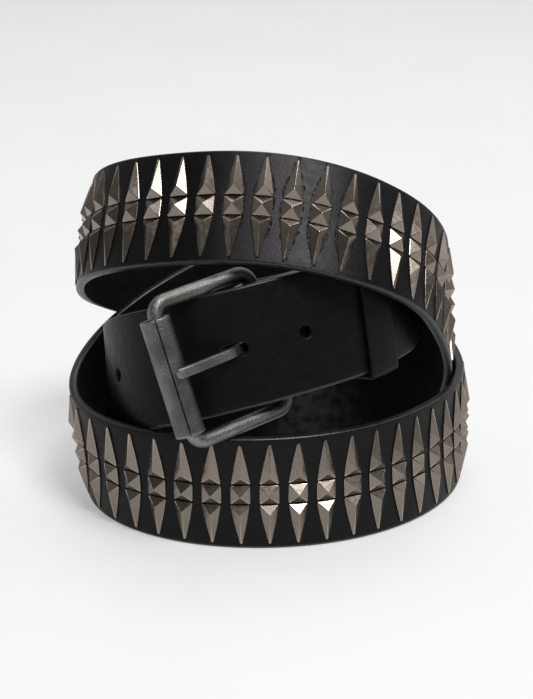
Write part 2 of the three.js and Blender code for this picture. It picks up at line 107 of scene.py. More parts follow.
def frames_at(place):
    """Centre, along, across and out at places in mm past the bar.

    Along is the spline's slope. Across is upright, turned by the lean about along. Out is along x across.
    """
    place = np.atleast_1d(np.asarray(place, float))
    turns = np.floor((place + BAR_LENGTH) / LOOP)
    inside = place + BAR_LENGTH - turns * LOOP
    u = turns * len(STATIONS) + np.interp(inside, lengths, np.arange(len(lengths)) / SAMPLES)
    here = spline_at(u)
    along = unit(spline_at(u + 0.01)[:, :3] - spline_at(u - 0.01)[:, :3])
    upright = unit(np.array([0, 0, 1.0]) - along * along[:, 2:])
    lean = np.radians(here[:, 3:])
    across = upright * np.cos(lean) + np.cross(along, upright) * np.sin(lean)
    return here[:, :3], along, across, np.cross(along, across)


def turned(frame_parts, degrees):
    """The same frame turned about its own out direction (Rodrigues' formula for a quarter-turned pair)."""
    centre, along, across, out = frame_parts
    c, s = np.cos(np.radians(degrees)), np.sin(np.radians(degrees))
    return centre, along * c + across * s, across * c - along * s, out


def placed(frame_parts, x, y, z):
    """Point that lies x along, y across and z out of the frame."""
    centre, along, across, out = frame_parts
    x, y, z = (np.asarray(value, float)[..., None] for value in (x, y, z))
    return centre + along * x + across * y + out * z


# %% [markdown]
# Where the frame stands
# The CAD model moves the coil so that its box is centred over the origin. The roller is round, so its
# box's middle is its own middle, and the difference to the roller worked out here is that move.

# %% Buckle sizes and the coil's shift
WIRE = 4.8
BAR_PLAY = 0.6
RUNNING_GAP = 0.3
FRAME_HALF_HEIGHT = 22.6
FRAME_LENGTH = 36.0
FRAME_CORNER = 4.4
FRAME_TILT = 15.0
FRAME_DROOP = 3.6
ROLLER_DIAMETER = 9.6
ROLLER_WALL = 1.0
ROLLER_LENGTH = 37.6
ROLLER_HANG = 0.5
BAR_OUT = -(LEATHER / 2 + BAR_PLAY + WIRE / 2)
LAYER = LEATHER + LAYER_GAP

bar_frame = turned(frames_at(0), FRAME_DROOP)
tilt_cos, tilt_sin = np.cos(np.radians(FRAME_TILT)), np.sin(np.radians(FRAME_TILT))


def buckle_point(x, y, z):
    """Point of the buckle: x away from the bar (negative), y up the bar, z out of the frame's plane."""
    x, y, z = (np.asarray(value, float) for value in (x, y, z))
    return placed(bar_frame, x * tilt_cos + z * tilt_sin, y, BAR_OUT - x * tilt_sin + z * tilt_cos)


roller_middle = buckle_point(-FRAME_LENGTH - ROLLER_HANG, -ROLLER_HANG, 0)[0]
roller_low, roller_high = (np.array(corner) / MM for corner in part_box("roller"))
SHIFT = roller_middle - (roller_low + roller_high) / 2
print("the coil is moved by", (-SHIFT).round(2), "mm")

# %% [markdown]
# The camera
# The photograph was taken from a little above. This distance, height and lens put the strap's edges and
# the studs' tips where the photograph shows them.

# %% Camera
def into_scene(name, data):
    """Object made from its data and linked into the scene."""
    made = bpy.data.objects.new(name, data)
    bpy.context.scene.collection.objects.link(made)
    return made


CAMERA_PLACE = np.array([0.0, -516.83, 237.07])
CAMERA_DOWN = 19.9
LENS = 83.26
SENSOR_HEIGHT = 36.0

camera_data = bpy.data.cameras.new("camera")
camera_data.sensor_fit = "VERTICAL"
camera_data.sensor_height = SENSOR_HEIGHT
camera_data.lens = LENS
camera_data.clip_start = 0.01
camera = into_scene("camera", camera_data)
camera.location = (CAMERA_PLACE - SHIFT) * MM
camera.rotation_euler = (np.radians(90 - CAMERA_DOWN), 0, 0)
bpy.context.scene.camera = camera


# %% [markdown]
# Meshes from arrays
# Every surface is a grid of points: rows along one parameter, columns along the other. One helper turns
# a grid into quads, and one puts points and faces into a mesh and turns them outwards.

# %% Grid and mesh helpers
def grid_quads(rows, columns, start=0, closed_rows=False, closed_columns=True):
    """Quads between neighbouring rows and columns of a grid of points, numbered row by row."""
    r = np.arange(rows if closed_rows else rows - 1)
    c = np.arange(columns if closed_columns else columns - 1)
    r, c = np.meshgrid(r, c, indexing="ij")
    r1, c1 = (r + 1) % rows, (c + 1) % columns
    quads = np.stack([r * columns + c, r * columns + c1, r1 * columns + c1, r1 * columns + c], axis=-1)
    return start + quads.reshape(-1, 4)


def signed_volume(points, faces):
    """Sum over the faces of the volume between each and the origin: above zero if they point outwards."""
    total = 0.0
    for face in faces:
        face = np.atleast_2d(face)
        for k in range(1, face.shape[1] - 1):
            a, b, c = points[face[:, 0]], points[face[:, k]], points[face[:, k + 1]]
            total += np.einsum("ni,ni->n", a, np.cross(b, c)).sum() / 6
    return total


def add_piece(name, points, faces, materials, replaced=(), face_material=None, smooth=True,
              uv=None, values=None, face_values=None):
    """Mesh from points in mm and a list of face arrays (each array holds faces of one size)."""
    points = (np.asarray(points, float).reshape(-1, 3) - SHIFT) * MM
    faces = [np.atleast_2d(np.asarray(face)) for face in faces]
    flip = signed_volume(points, faces) < 0
    faces = [face[:, ::-1] if flip else face for face in faces]
    mesh = bpy.data.meshes.new(name)
    mesh.from_pydata(points.tolist(), [], [row for face in faces for row in face.tolist()])
    for material in materials:
        mesh.materials.append(material)
    mesh.polygons.foreach_set("use_smooth", np.full(len(mesh.polygons), smooth))
    if face_material is not None:
        mesh.polygons.foreach_set("material_index", np.asarray(face_material, np.int32))
    corner = np.zeros(len(mesh.loops), np.int32)
    mesh.loops.foreach_get("vertex_index", corner)
    if uv is not None:
        layer = mesh.uv_layers.new(name="along_across")
        layer.data.foreach_set("uv", np.asarray(uv, np.float32)[corner].ravel())
    for domain, table in (("POINT", values), ("FACE", face_values)):
        for key, value in (table or {}).items():
            attribute = mesh.attributes.new(key, "FLOAT", domain)
            attribute.data.foreach_set("value", np.asarray(value, np.float32).ravel())
    mesh.update()
    piece = into_scene(name, mesh)
    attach(piece, "root")
    if replaced:
        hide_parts(*replaced)
    print(name, len(mesh.polygons), "faces")
    return piece


# %% [markdown]
# Node groups shared by the finishes
# Leather and metal both need noise, fine and slow. Building each effect once as a node group keeps the
# materials short and lets every material set its own values.

# %% Node helpers
def new_group(name, inputs, outputs):
    """Empty node group with float inputs {name: default} and outputs, and its end nodes."""
    tree = bpy.data.node_groups.new(name, "ShaderNodeTree")
    for key, default in inputs.items():
        tree.interface.new_socket(key, in_out="INPUT", socket_type="NodeSocketFloat").default_value = default
    for key in outputs:
        tree.interface.new_socket(key, in_out="OUTPUT", socket_type="NodeSocketFloat")
    return tree, tree.nodes.new("NodeGroupInput"), tree.nodes.new("NodeGroupOutput")


def fill(tree, made, inputs):
    """Inputs of a node set to values or linked to sockets."""
    for key, value in inputs.items():
        if isinstance(value, bpy.types.NodeSocket):
            tree.links.new(value, made.inputs[key])
        else:
            made.inputs[key].default_value = value


def node(tree, kind, inputs=None, **settings):
    """Node of a kind with its settings, and its inputs set to values or linked to sockets."""
    made = tree.nodes.new(kind)
    for key, value in settings.items():
        setattr(made, key, value)
    fill(tree, made, inputs or {})
    return made


def ramp(tree, value, low, high, to_low=0.0, to_high=1.0):
    """Map Range from low..high to to_low..to_high, smooth and held at its ends."""
    inputs = {"Value": value, "From Min": low, "From Max": high, "To Min": to_low, "To Max": to_high}
    return node(tree, "ShaderNodeMapRange", inputs, interpolation_type="SMOOTHSTEP").outputs["Result"]


def maths(tree, operation, *values):
    """Output of a Math node with the values, numbers or sockets, as its inputs."""
    return node(tree, "ShaderNodeMath", dict(enumerate(values)), operation=operation).outputs[0]


def mix_colour(tree, share, first, second):
    """Colour mixed from two, by a share from 0 to 1."""
    return node(tree, "ShaderNodeMix", {0: share, 6: first, 7: second}, data_type="RGBA").outputs[2]


def colour(r, g, b):
    """Colour with full opacity."""
    return (r, g, b, 1.0)


# %% Pores and clouds
def make_pores():
    """Leather's relief: rounded cells a fraction of a millimetre wide, broken up by finer noise."""
    tree, inputs, outputs = new_group("pores", {"Cells per m": 1500.0, "Noise share": 0.4}, ["Height"])
    where = node(tree, "ShaderNodeTexCoord").outputs["Object"]
    cells = node(tree, "ShaderNodeTexVoronoi", {"Vector": where, "Scale": inputs.outputs["Cells per m"]},
                 feature="SMOOTH_F1")
    fine = node(tree, "ShaderNodeTexNoise", {"Vector": where, "Scale": 5200.0, "Detail": 3.0})
    both = node(tree, "ShaderNodeMix", {0: inputs.outputs["Noise share"], 2: cells.outputs["Distance"],
                                        3: fine.outputs["Fac"]})
    tree.links.new(both.outputs[0], outputs.inputs["Height"])
    return tree


def make_clouds():
    """Slow variation over centimetres: 0 to 1, for gloss and shade that change over a surface."""
    tree, inputs, outputs = new_group("clouds", {"Per m": 60.0, "Detail": 4.0}, ["Mask"])
    where = node(tree, "ShaderNodeTexCoord").outputs["Object"]
    noise = node(tree, "ShaderNodeTexNoise", {"Vector": where, "Scale": inputs.outputs["Per m"],
                                              "Detail": inputs.outputs["Detail"]})
    mask = ramp(tree, noise.outputs["Fac"], 0.3, 0.7)
    tree.links.new(mask, outputs.inputs["Mask"])
    return tree


def make_grain():
    """Fine grain of blasted and rubbed metal: noise with marks a few tenths of a millimetre long."""
    tree, inputs, outputs = new_group("metal grain", {"Per m": 1500.0, "Drawn out": 1.5}, ["Mask"])
    where = node(tree, "ShaderNodeSeparateXYZ", {"Vector": node(tree, "ShaderNodeUVMap").outputs["UV"]})
    across = maths(tree, "MULTIPLY", where.outputs["X"], inputs.outputs["Drawn out"])
    drawn = node(tree, "ShaderNodeCombineXYZ", {"X": across, "Y": where.outputs["Y"]})
    noise = node(tree, "ShaderNodeTexNoise", {"Vector": drawn.outputs[0], "Scale": inputs.outputs["Per m"],
                                              "Detail": 3.0})
    tree.links.new(ramp(tree, noise.outputs["Fac"], 0.3, 0.7), outputs.inputs["Mask"])
    return tree


# a stud's outline in metres from the strap's middle, and the reach of the band beside it
SHOULDER_AT = 0.005
TIP_AT = 0.0172
SHOULDER_HALF = 0.0029
BAND_FULL = 0.0003
BAND_END = 0.0009


def make_beside_studs():
    """Narrow band beside every stud: how far along the nearest column is, less the stud's half width."""
    tree, inputs, outputs = new_group("beside studs", {"First m": 0.0729, "Pitch m": 0.00907}, ["Mask"])
    where = node(tree, "ShaderNodeSeparateXYZ", {"Vector": node(tree, "ShaderNodeUVMap").outputs["UV"]})
    column = maths(tree, "DIVIDE", maths(tree, "SUBTRACT", where.outputs["X"], inputs.outputs["First m"]),
                   inputs.outputs["Pitch m"])
    past = maths(tree, "MULTIPLY", maths(tree, "ABSOLUTE", maths(tree, "WRAP", column, 0.5, -0.5)),
                 inputs.outputs["Pitch m"])
    half = ramp(tree, maths(tree, "ABSOLUTE", where.outputs["Y"]), SHOULDER_AT, TIP_AT, SHOULDER_HALF, 0.0)
    beside = maths(tree, "SUBTRACT", past, half)
    tree.links.new(ramp(tree, beside, BAND_FULL, BAND_END, 1.0, 0.0), outputs.inputs["Mask"])
    return tree


BESIDE_STUDS = make_beside_studs()
PORES = make_pores()
CLOUDS = make_clouds()
GRAIN = make_grain()


def use(tree, group, **values):
    """Group node in a material's tree, with its inputs set by name (underscores for spaces)."""
    inputs = {key.replace("_", " "): value for key, value in values.items()}
    return node(tree, "ShaderNodeGroup", inputs, node_tree=group).outputs[0]


def new_material(name):
    """Material with nodes; returns it, its tree and its Principled BSDF."""
    material = bpy.data.materials.new(name)
    material.use_nodes = True
    return material, material.node_tree, material.node_tree.nodes["Principled BSDF"]


def relief(tree, height, distance):
    """Bump node at full strength; distance is the relief's full height in metres."""
    inputs = {"Height": height, "Distance": distance, "Strength": 1.0}
    return node(tree, "ShaderNodeBump", inputs).outputs["Normal"]


# %% [markdown]
# Smooth black leather
# The grain side of a strap is finished with pigment and wax: nearly black, a soft broad shine, fine pores,
# and slow changes of gloss. The shine carries the look, so the roughness varies and the colour hardly does.

# %% Leather finishes
def make_grain_leather():
    """Near-black leather: clouded gloss, pores as bump, a painted sheen that lightens one bent stretch with
    creases as bump, and nicks beside the studs dented as bump and darkened by painted shade.
    """
    material, tree, skin = new_material("black grain leather")
    slow = use(tree, CLOUDS, Per_m=45.0)
    quick = use(tree, CLOUDS, Per_m=420.0, Detail=6.0)
    creases = use(tree, CLOUDS, Per_m=1500.0, Detail=7.0)
    sheen_and_creases = node(tree, "ShaderNodeAttribute", attribute_name="sheen_and_creases").outputs["Fac"]
    sheen_crease_mask = maths(tree, "MULTIPLY", sheen_and_creases, maths(tree, "MULTIPLY_ADD", creases, 0.3, 0.7))
    torn = ramp(tree, use(tree, CLOUDS, Per_m=900.0, Detail=4.0), 0.45, 0.65)
    nicks_and_shade = maths(tree, "MULTIPLY", maths(tree, "MULTIPLY", sheen_and_creases, torn), use(tree, BESIDE_STUDS))
    shade = mix_colour(tree, slow, colour(0.0032, 0.0032, 0.0036), colour(0.005, 0.0048, 0.0054))
    # painted sheen: one stretch of the leather is lightened towards grey; its creases are bump
    shade = mix_colour(tree, sheen_crease_mask, shade, colour(0.04, 0.036, 0.039))
    # painted shade: the nicks beside the studs are darkened; their dents are bump
    shade = mix_colour(tree, nicks_and_shade, shade, colour(0.0015, 0.0015, 0.0015))
    height = maths(tree, "MULTIPLY_ADD", sheen_crease_mask, creases, use(tree, PORES, Cells_per_m=1700.0))
    height = maths(tree, "MULTIPLY_ADD", nicks_and_shade, -8.0, height)
    fill(tree, skin, {"Base Color": shade, "Roughness": ramp(tree, quick, 0.0, 1.0, 0.36, 0.46),
                      "Normal": relief(tree, height, 0.00004), "Specular IOR Level": 0.15})
    return material


def make_edge_leather():
    """The cut edge, dyed black and rubbed smooth: glossier, with faint streaks."""
    material, tree, skin = new_material("dyed edge")
    streaks = use(tree, CLOUDS, Per_m=700.0, Detail=3.0)
    shade = mix_colour(tree, streaks, colour(0.006, 0.006, 0.007), colour(0.02, 0.0185, 0.019))
    fill(tree, skin, {"Base Color": shade, "Roughness": ramp(tree, streaks, 0.0, 1.0, 0.3, 0.4),
                      "Normal": relief(tree, streaks, 0.000015)})
    return material


def make_suede():
    """The flesh side: matt, mottled, with a faint purple cast and short fibres, and a painted pool of light
    that lightens one stretch.
    """
    material, tree, skin = new_material("flesh side")
    mottle = use(tree, CLOUDS, Per_m=260.0, Detail=8.0)
    fibres = use(tree, CLOUDS, Per_m=2600.0, Detail=5.0)
    painted_lit_patch = node(tree, "ShaderNodeAttribute", attribute_name="painted_lit_patch").outputs["Fac"]
    # painted light: the stretch at LIT_PATCH_AT is lightened as if lit
    dark = mix_colour(tree, painted_lit_patch, colour(0.0026, 0.0024, 0.0028), colour(0.017, 0.0145, 0.016))
    pale = mix_colour(tree, painted_lit_patch, colour(0.006, 0.0052, 0.006), colour(0.065, 0.056, 0.061))
    fill(tree, skin, {"Base Color": mix_colour(tree, mottle, dark, pale),
                      "Roughness": ramp(tree, fibres, 0.0, 1.0, 0.75, 0.95),
                      "Normal": relief(tree, fibres, 0.00012), "Specular IOR Level": 0.12})
    return material


grain_leather, edge_leather, suede = make_grain_leather(), make_edge_leather(), make_suede()


# %% [markdown]
# Antique metal
# The studs are pressed from sheet, plated and then darkened. Polishing brings the ridges back to bright
# metal and leaves the valleys dark. Each piece carries an attribute "wear_and_highlight", 1 on its ridges
# and 0 low down, which mixes the two: it holds that polish wear and also painted highlights, on the studs'
# ridges, rims and peaks, along the wire, at the roller's ends and at the tongue's tip. The buckle is done
# alike, in a colder, darker grey.

# %% Metal finishes
def make_metal(name, dark, bright, rough_low, rough_high, fine, relief_height, broken_up):
    """Metal mixed from a dark and a bright tone by the attribute wear_and_highlight, which holds polish wear
    and painted highlights; fine makes its mask of marks.
    """
    material, tree, skin = new_material(name)
    wear_and_highlight = node(tree, "ShaderNodeAttribute", attribute_name="wear_and_highlight").outputs["Fac"]
    marks = fine(tree)
    slow = use(tree, CLOUDS, Per_m=130.0, Detail=3.0)
    broken = maths(tree, "MULTIPLY", maths(tree, "MULTIPLY", marks, slow), broken_up)
    amount = node(tree, "ShaderNodeMath", {0: wear_and_highlight, 1: broken}, operation="ADD", use_clamp=True).outputs[0]
    fill(tree, skin, {"Base Color": mix_colour(tree, amount, dark, bright), "Metallic": 1.0,
                      "Roughness": ramp(tree, marks, 0.0, 1.0, rough_low, rough_high),
                      "Normal": relief(tree, marks, relief_height)})
    return material


def stamped(tree):
    """Marks of stamped and tumbled metal."""
    return use(tree, CLOUDS, Per_m=700.0, Detail=6.0)


def rubbed(tree):
    """Grain of cast metal that was blasted and rubbed."""
    return use(tree, GRAIN)


stud_metal = make_metal("antique nickel", colour(0.16, 0.129, 0.103), colour(0.49, 0.445, 0.4),
                        0.23, 0.28, stamped, 0.000003, 0.06)
buckle_metal = make_metal("dark buckle metal", colour(0.06, 0.058, 0.054), colour(0.29, 0.285, 0.272),
                          0.37, 0.5, rubbed, 0.00005, 0.75)


# %% [markdown]
# The strap
# A real strap is one piece: folded round the bar, three times round, and out to the tip. So it is one
# grid: rows along the leather, columns round its section. A curve with a bevel can't hold holes. Any point
# of the leather is found from its length along the middle line, its place across and its depth.

# %% Middle line of the leather, from the folded end to the tip
FOLD_LENGTH = 52.0
FOLD_SETTLE = 12.0
TIP_PAST_BAR = 62.0
TIP_TAPER = 16.0
TIP_END_WIDTH = 16.0
TIP_CLIMB_LEFT = 4.0
roller_along = -(FRAME_LENGTH + ROLLER_HANG) * tilt_cos
TIP_START = LOOP + roller_along + ROLLER_DIAMETER / 2


def smooth_step(f):
    """Cubic ease from 0 to 1."""
    f = np.clip(f, 0, 1)
    return f * f * (3 - 2 * f)


def tip_offset(place):
    """How far out the leather lies: past the roller the tip climbs over the strap's other end."""
    return LAYER * smooth_step((place - TIP_START) / (LOOP - TIP_CLIMB_LEFT - TIP_START))


def middle_line():
    """Points and across directions: fold, a half circle round the bar, then the long way to the tip."""
    fold = np.linspace(FOLD_LENGTH, FOLD_SETTLE, 60)
    settle = np.linspace(FOLD_SETTLE, 0, 16)[1:-1]
    drop = smooth_step(1 - settle / FOLD_SETTLE)
    angle = np.pi * np.linspace(1, 2, 30)
    body = np.linspace(0, LOOP + TIP_PAST_BAR, 2300)[1:]
    parts = [
        (placed(frames_at(fold), 0, 0, -LAYER), frames_at(fold)[2], fold * 0 - 1),
        (placed(frames_at(settle), 0, 0, -LAYER + (2 * BAR_OUT + LAYER) * drop), frames_at(settle)[2],
         settle * 0 - 1),
        (placed(bar_frame, -BAR_OUT * np.sin(angle), 0, BAR_OUT - BAR_OUT * np.cos(angle)),
         np.repeat(bar_frame[2], len(angle), 0), angle * 0 - 1),
        (placed(frames_at(body), 0, 0, tip_offset(body)), frames_at(body)[2], body),
    ]
    return [np.concatenate(column) for column in zip(*parts)]


line_points, line_across, line_place = middle_line()
line_length = np.append(0, np.cumsum(np.linalg.norm(np.diff(line_points, axis=0), axis=1)))
STRAP_LENGTH = line_length[-1]
on_body = line_place > 0
print("leather from fold end to tip:", round(STRAP_LENGTH), "mm")


def length_of_place(place):
    """Length along the leather of a place given in mm past the bar."""
    return np.interp(place, line_place[on_body], line_length[on_body])


def place_of_length(s):
    """Place past the bar of a length along the leather; below zero in the fold."""
    return np.interp(s, line_length, np.where(on_body, line_place, -1.0))


def along_line(s, rows):
    """Rows of three values, one per point of the middle line, read off at lengths s."""
    return np.stack([np.interp(s, line_length, rows[:, k]) for k in range(3)], -1)


SLOPE_REACH = 0.6


def leather_point(s, v, n):
    """Point at length s, v across and n out from the middle of the leather's thickness."""
    s, v, n = (value.ravel() for value in np.broadcast_arrays(s, v, n))
    slope = along_line(s + SLOPE_REACH, line_points) - along_line(s - SLOPE_REACH, line_points)
    across = unit(along_line(s, line_across))
    out = unit(np.cross(slope, across))
    return along_line(s, line_points) + across * v[:, None] + out * n[:, None]


def half_width(s):
    """Half the strap's width: full, and narrowing as an ellipse to the tip's blunt end."""
    f = 1 - np.clip((STRAP_LENGTH - s) / TIP_TAPER, 0, 1)
    return TIP_END_WIDTH / 2 + (BELT_WIDTH - TIP_END_WIDTH) / 2 * np.sqrt(1 - f**2)


# %% [markdown]
# Holes in a grid
# Five tongue holes and the slot in the fold go right through. A boolean leaves long thin faces that shade
# badly on shiny leather. Instead a patch of the grid is taken out on both faces, and rings of points lead
# from its border to the round hole, down its wall and out again.

# %% Holes: where they are and how long
HOLE_DIAMETER = 4.2
HOLE_PITCH = 22.8
HOLE_COUNT = 5
PINNED_HOLE = 2
PIN_BEFORE_BAR = 13.0
WORN_HOLE_LENGTH = 9.0
TONGUE_WIDTH = 3.2
TONGUE_LIFT = 0.5
TONGUE_SLOT_LENGTH = 16.0
SLOT_ALLOWANCE = 4.0
PATCH_HALF = 4.0
PATCH_STEP = 0.5
ROW_STEP = 1.15

hole_number = np.arange(HOLE_COUNT) - PINNED_HOLE
hole_places = length_of_place(LOOP - PIN_BEFORE_BAR + hole_number * HOLE_PITCH)
hole_lengths = np.where(hole_number == 0, WORN_HOLE_LENGTH, HOLE_DIAMETER)
wrap_middle = length_of_place(0.5) - np.pi * abs(BAR_OUT) / 2
slot = (wrap_middle, TONGUE_SLOT_LENGTH + SLOT_ALLOWANCE, TONGUE_WIDTH + 4 * RUNNING_GAP)
openings = [slot] + [(s, long, HOLE_DIAMETER) for s, long in zip(hole_places, hole_lengths)]


def strap_rows():
    """Lengths of the grid's rows: fine and even over each opening's patch, ROW_STEP apart elsewhere."""
    rows, patches, at = [np.zeros(1)], [], 0.0
    for middle, long, wide in openings:
        reach = np.ceil(((long - wide) / 2 + PATCH_HALF) / PATCH_STEP) * PATCH_STEP
        steps = max(int((middle - reach - at) / ROW_STEP), 1)
        rows.append(np.linspace(at, middle - reach, steps + 1)[1:])
        first = sum(len(part) for part in rows) - 1
        rows.append(np.linspace(middle - reach, middle + reach, int(2 * reach / PATCH_STEP) + 1)[1:])
        patches.append((first, sum(len(part) for part in rows) - 1, middle, long, wide))
        at = middle + reach
    steps = int((STRAP_LENGTH - at) / ROW_STEP)
    rows.append(np.linspace(at, STRAP_LENGTH, steps + 1)[1:])
    return np.concatenate(rows), patches


# %% Section of the strap and its rows
EDGE_ROUND = 0.9
END_ROUND = 0.7
FACE_HALF = BELT_WIDTH / 2 - EDGE_ROUND
SIDE_COLUMNS = 8
EDGE_COLUMNS = 6
patch_v = np.arange(-PATCH_HALF, PATCH_HALF + PATCH_STEP / 2, PATCH_STEP)[1:-1]
FACE_V = np.concatenate([np.linspace(-FACE_HALF, -PATCH_HALF, SIDE_COLUMNS), patch_v,
                         np.linspace(PATCH_HALF, FACE_HALF, SIDE_COLUMNS)])
FACE_COLUMNS = len(FACE_V)
PATCH_FIRST = SIDE_COLUMNS - 1
PATCH_LAST = FACE_COLUMNS - SIDE_COLUMNS


def column_behind(column):
    """Column of the inner face that lies behind a column of the outer face."""
    return 2 * FACE_COLUMNS + EDGE_COLUMNS - 1 - column


def section(s):
    """Points across and out, one row per length in s: outer face, edge, inner face, edge.

    The edges are quarter circles of EDGE_ROUND. Near both ends everything shrinks by c, with
    c = r - sqrt(r^2 - (r - d)^2) at a distance d from the end, which rounds the ends off.
    """
    d = np.minimum(np.minimum(s, STRAP_LENGTH - s), END_ROUND)
    c = (END_ROUND - np.sqrt(END_ROUND**2 - (END_ROUND - d) ** 2))[:, None]
    face = FACE_V[None, :] * (half_width(s)[:, None] - EDGE_ROUND - c) / FACE_HALF
    angle = np.radians([22, 45, 68])
    bulge = np.concatenate([np.sin(angle), np.sin(angle[::-1])]) * EDGE_ROUND
    height = LEATHER / 2 - EDGE_ROUND + np.cos(angle) * EDGE_ROUND
    height = np.concatenate([height, -height[::-1]])
    top = face[:, -1:] + bulge
    n_face = np.full_like(face, LEATHER / 2) - c
    n_edge = np.repeat(height[None, :], len(s), 0) * (1 - c / (LEATHER / 2))
    v = np.concatenate([face, top, face[:, ::-1], -top], axis=1)
    n = np.concatenate([n_face, n_edge, -n_face, -n_edge], axis=1)
    return v, n


def all_rows():
    """The strap's rows, with close ones added at both ends and round the tip's curve."""
    rows, patches = strap_rows()
    start = np.array([0, 0.05, 0.2, 0.45, 0.8])
    taper = STRAP_LENGTH - TIP_TAPER * (1 - np.sin(np.linspace(0, np.pi / 2, 22)))
    end = STRAP_LENGTH - start[::-1]
    body = rows[(rows > 1.5) & (rows < STRAP_LENGTH - TIP_TAPER - 0.5)]
    before = len(start) - np.sum(rows <= 1.5)
    tail = np.unique(np.concatenate([taper[taper < end[0] - 0.1], end]))
    patches = [(a + before, b + before, *rest) for a, b, *rest in patches]
    return np.concatenate([start, body, tail]), patches


row_lengths, patches = all_rows()
section_v, section_n = section(row_lengths)
COLUMNS = section_v.shape[1]
strap_points = leather_point(row_lengths[:, None], section_v, section_n)
print("strap grid:", len(row_lengths), "rows of", COLUMNS)


# %% Rings of points round the holes
def border_of(first, last):
    """Rows and face columns round a patch, in order, starting at a corner."""
    up = [(r, PATCH_FIRST) for r in range(first, last)]
    right = [(last, c) for c in range(PATCH_FIRST, PATCH_LAST)]
    down = [(r, PATCH_LAST) for r in range(last, first, -1)]
    left = [(first, c) for c in range(PATCH_LAST, PATCH_FIRST, -1)]
    return np.array(up + right + down + left)


def hole_rings(first, last, middle, long, wide):
    """Indices of a patch's border on both faces, and the rings of points between them.

    Each ring is the hole's outline (two half circles and two straight sides) grown by some amount, at
    some depth. The outline's point for a border point is the one nearest to it.
    """
    border = border_of(first, last)
    outer = border[:, 0] * COLUMNS + border[:, 1]
    inner = border[:, 0] * COLUMNS + column_behind(border[:, 1])
    s, v = row_lengths[border[:, 0]] - middle, FACE_V[border[:, 1]]
    core = np.clip(s, -(long - wide) / 2, (long - wide) / 2)
    away = unit(np.stack([s - core, v], -1))
    half = LEATHER / 2
    steps = [(1.0, half), (0.5, half), (0.25, half - 0.05), (0.07, half - 0.2), (0, half - 0.45), (0, 0),
             (0, 0.45 - half), (0.07, 0.2 - half), (0.3, -half)]
    rings = []
    for grow, depth in steps:
        radius = wide / 2 + grow
        rings.append(leather_point(middle + core + away[:, 0] * radius, away[:, 1] * radius, depth))
    return outer, inner, rings


# places of the finishes in the piece's list of materials
GRAIN_SIDE = 0
DYED_EDGE = 1
FLESH_SIDE = 2
STUD_SIDE = 3
# finish of each strip of a hole, from the outer face in
HOLE_FINISHES = [GRAIN_SIDE] * 4 + [DYED_EDGE] * 4 + [FLESH_SIDE] * 2


def strap_mesh():
    """Points and quads of the strap: the grid without its patches, and the holes' rings with their finish."""
    points = [strap_points]
    quads = grid_quads(len(row_lengths), COLUMNS)
    row, column = np.divmod(quads[:, 0], COLUMNS)
    keep = np.ones(len(quads), bool)
    extra, count = [], len(strap_points)
    for first, last, middle, long, wide in patches:
        in_rows = (row >= first) & (row < last)
        on_outer = (column >= PATCH_FIRST) & (column < PATCH_LAST)
        behind = column_behind(column + 1)
        on_inner = (behind >= PATCH_FIRST) & (behind < PATCH_LAST)
        keep &= ~(in_rows & (on_outer | on_inner))
        outer, inner, rings = hole_rings(first, last, middle, long, wide)
        size = len(outer)
        numbers = [outer] + [count + k * size + np.arange(size) for k in range(len(rings))] + [inner]
        for finish, a, b in zip(HOLE_FINISHES, numbers[:-1], numbers[1:]):
            extra.append(np.column_stack([a, b, np.roll(b, -1), np.roll(a, -1), np.full(size, finish)]))
        points += rings
        count += size * len(rings)
    return np.concatenate(points), quads[keep], np.concatenate(extra)


def cap_faces(start):
    """Quads that join the outer to the inner face across an end, and the two edge corners as octagons."""
    j = np.arange(FACE_COLUMNS - 1)
    across = np.stack([j, j + 1, column_behind(j + 1), column_behind(j)], -1) + start
    right = np.arange(FACE_COLUMNS - 1, FACE_COLUMNS + EDGE_COLUMNS + 1) + start
    left = np.append(np.arange(column_behind(0), COLUMNS), 0) + start
    return across, np.stack([right, left])


grid_points, face_quads, hole_strips = strap_mesh()
hole_quads, hole_finish = hole_strips[:, :4], hole_strips[:, 4]
last_row = (len(row_lengths) - 1) * COLUMNS
start_cap, start_corners = cap_faces(0)
end_cap, end_corners = cap_faces(last_row)


# %% [markdown]
# The studs
# Each column has a square pyramid between two daggers, stamped from sheet, with flat faces and narrow
# polished ridges. Bevels on 252 pieces would be slow. So each stud is a few rings: its outline with the
# corners cut, a low wall, and the outline shrunk towards its peak. The cut corners become the ridges.

# %% Outline and rings of one stud
COLUMN_COUNT = 84
COLUMN_PITCH = 9.07
FIRST_COLUMN = 72.9
SQUARE_SIDE = 6.3
DAGGER_LENGTH = 13.6
DAGGER_TIP = 0.9
STUD_GAP = 0.5
STUD_PEAK = 2.5
DAGGER_PEAK_SHARE = 0.2
STUD_WALL = 0.35
RIDGE_BAND = 0.3


def cut_corners(corners, cut):
    """Each ridge corner (its third value is 1) replaced by two points, cut mm before it and after it.

    Returns the outline and, for each of its edges, whether it is one of the short ones that were cut.
    """
    corners = np.asarray(corners, float)
    places = corners[:, :2]
    back = places + unit(np.roll(places, 1, 0) - places) * cut
    ahead = places + unit(np.roll(places, -1, 0) - places) * cut
    outline, band = [], []
    for place, before, after, ridge in zip(places, back, ahead, corners[:, 2]):
        outline += [before, after] if ridge else [place]
        band += [True, False] if ridge else [False]
    return np.array(outline), np.array(band)


